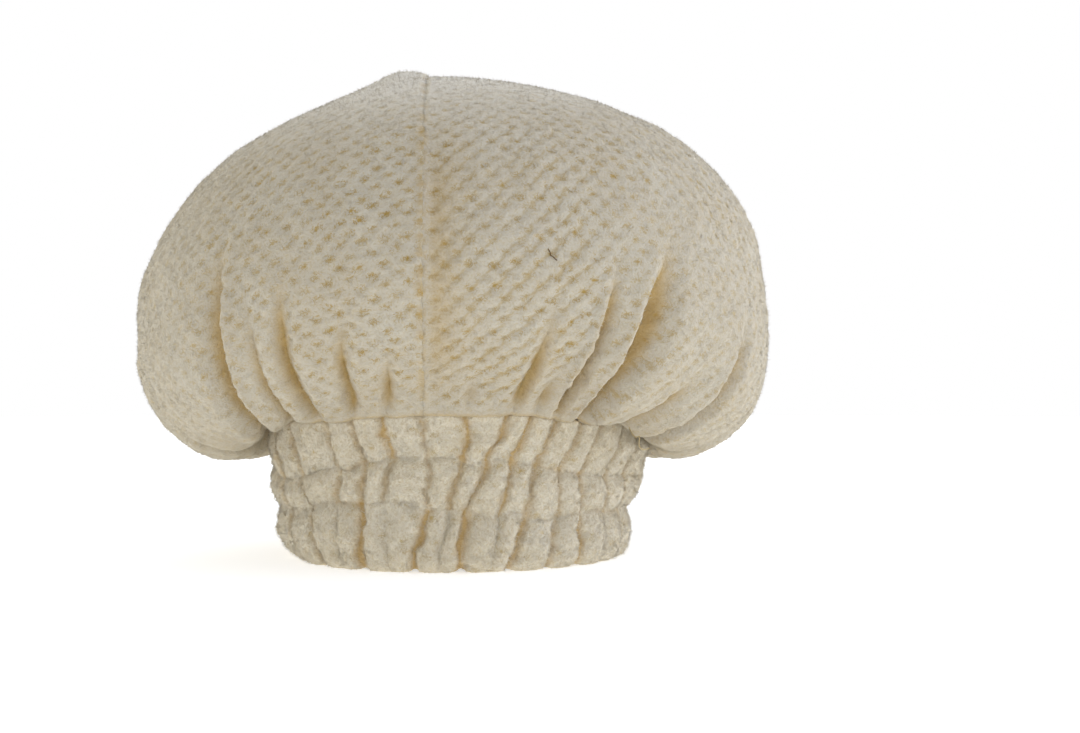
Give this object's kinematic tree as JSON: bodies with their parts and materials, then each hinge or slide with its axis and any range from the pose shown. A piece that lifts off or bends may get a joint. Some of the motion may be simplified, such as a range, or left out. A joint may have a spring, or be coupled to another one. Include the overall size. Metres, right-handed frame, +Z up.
{
  "type": "towelling shower cap",
  "caption": "Puffed cream towelling cap with a centre seam, gathered on to a soft elastic band with rows of shirring.",
  "frame": {"origin": "on the surface that the hem rests on, under the middle of the cap's bounding box", "axes": "+Z up from the hem to the crown's peak, +X to the right as seen from the front, +Y from the front to the back"},
  "size_m": [0.2832, 0.2584, 0.2163],
  "materials": {
    "crown_towelling": "waffle pile",
    "band_towelling": "waffle pile"
  },
  "bodies": {
    "root": {"crown_left": "crown_towelling", "crown_right": "crown_towelling", "band": "band_towelling"}
  },
  "joints": []
}
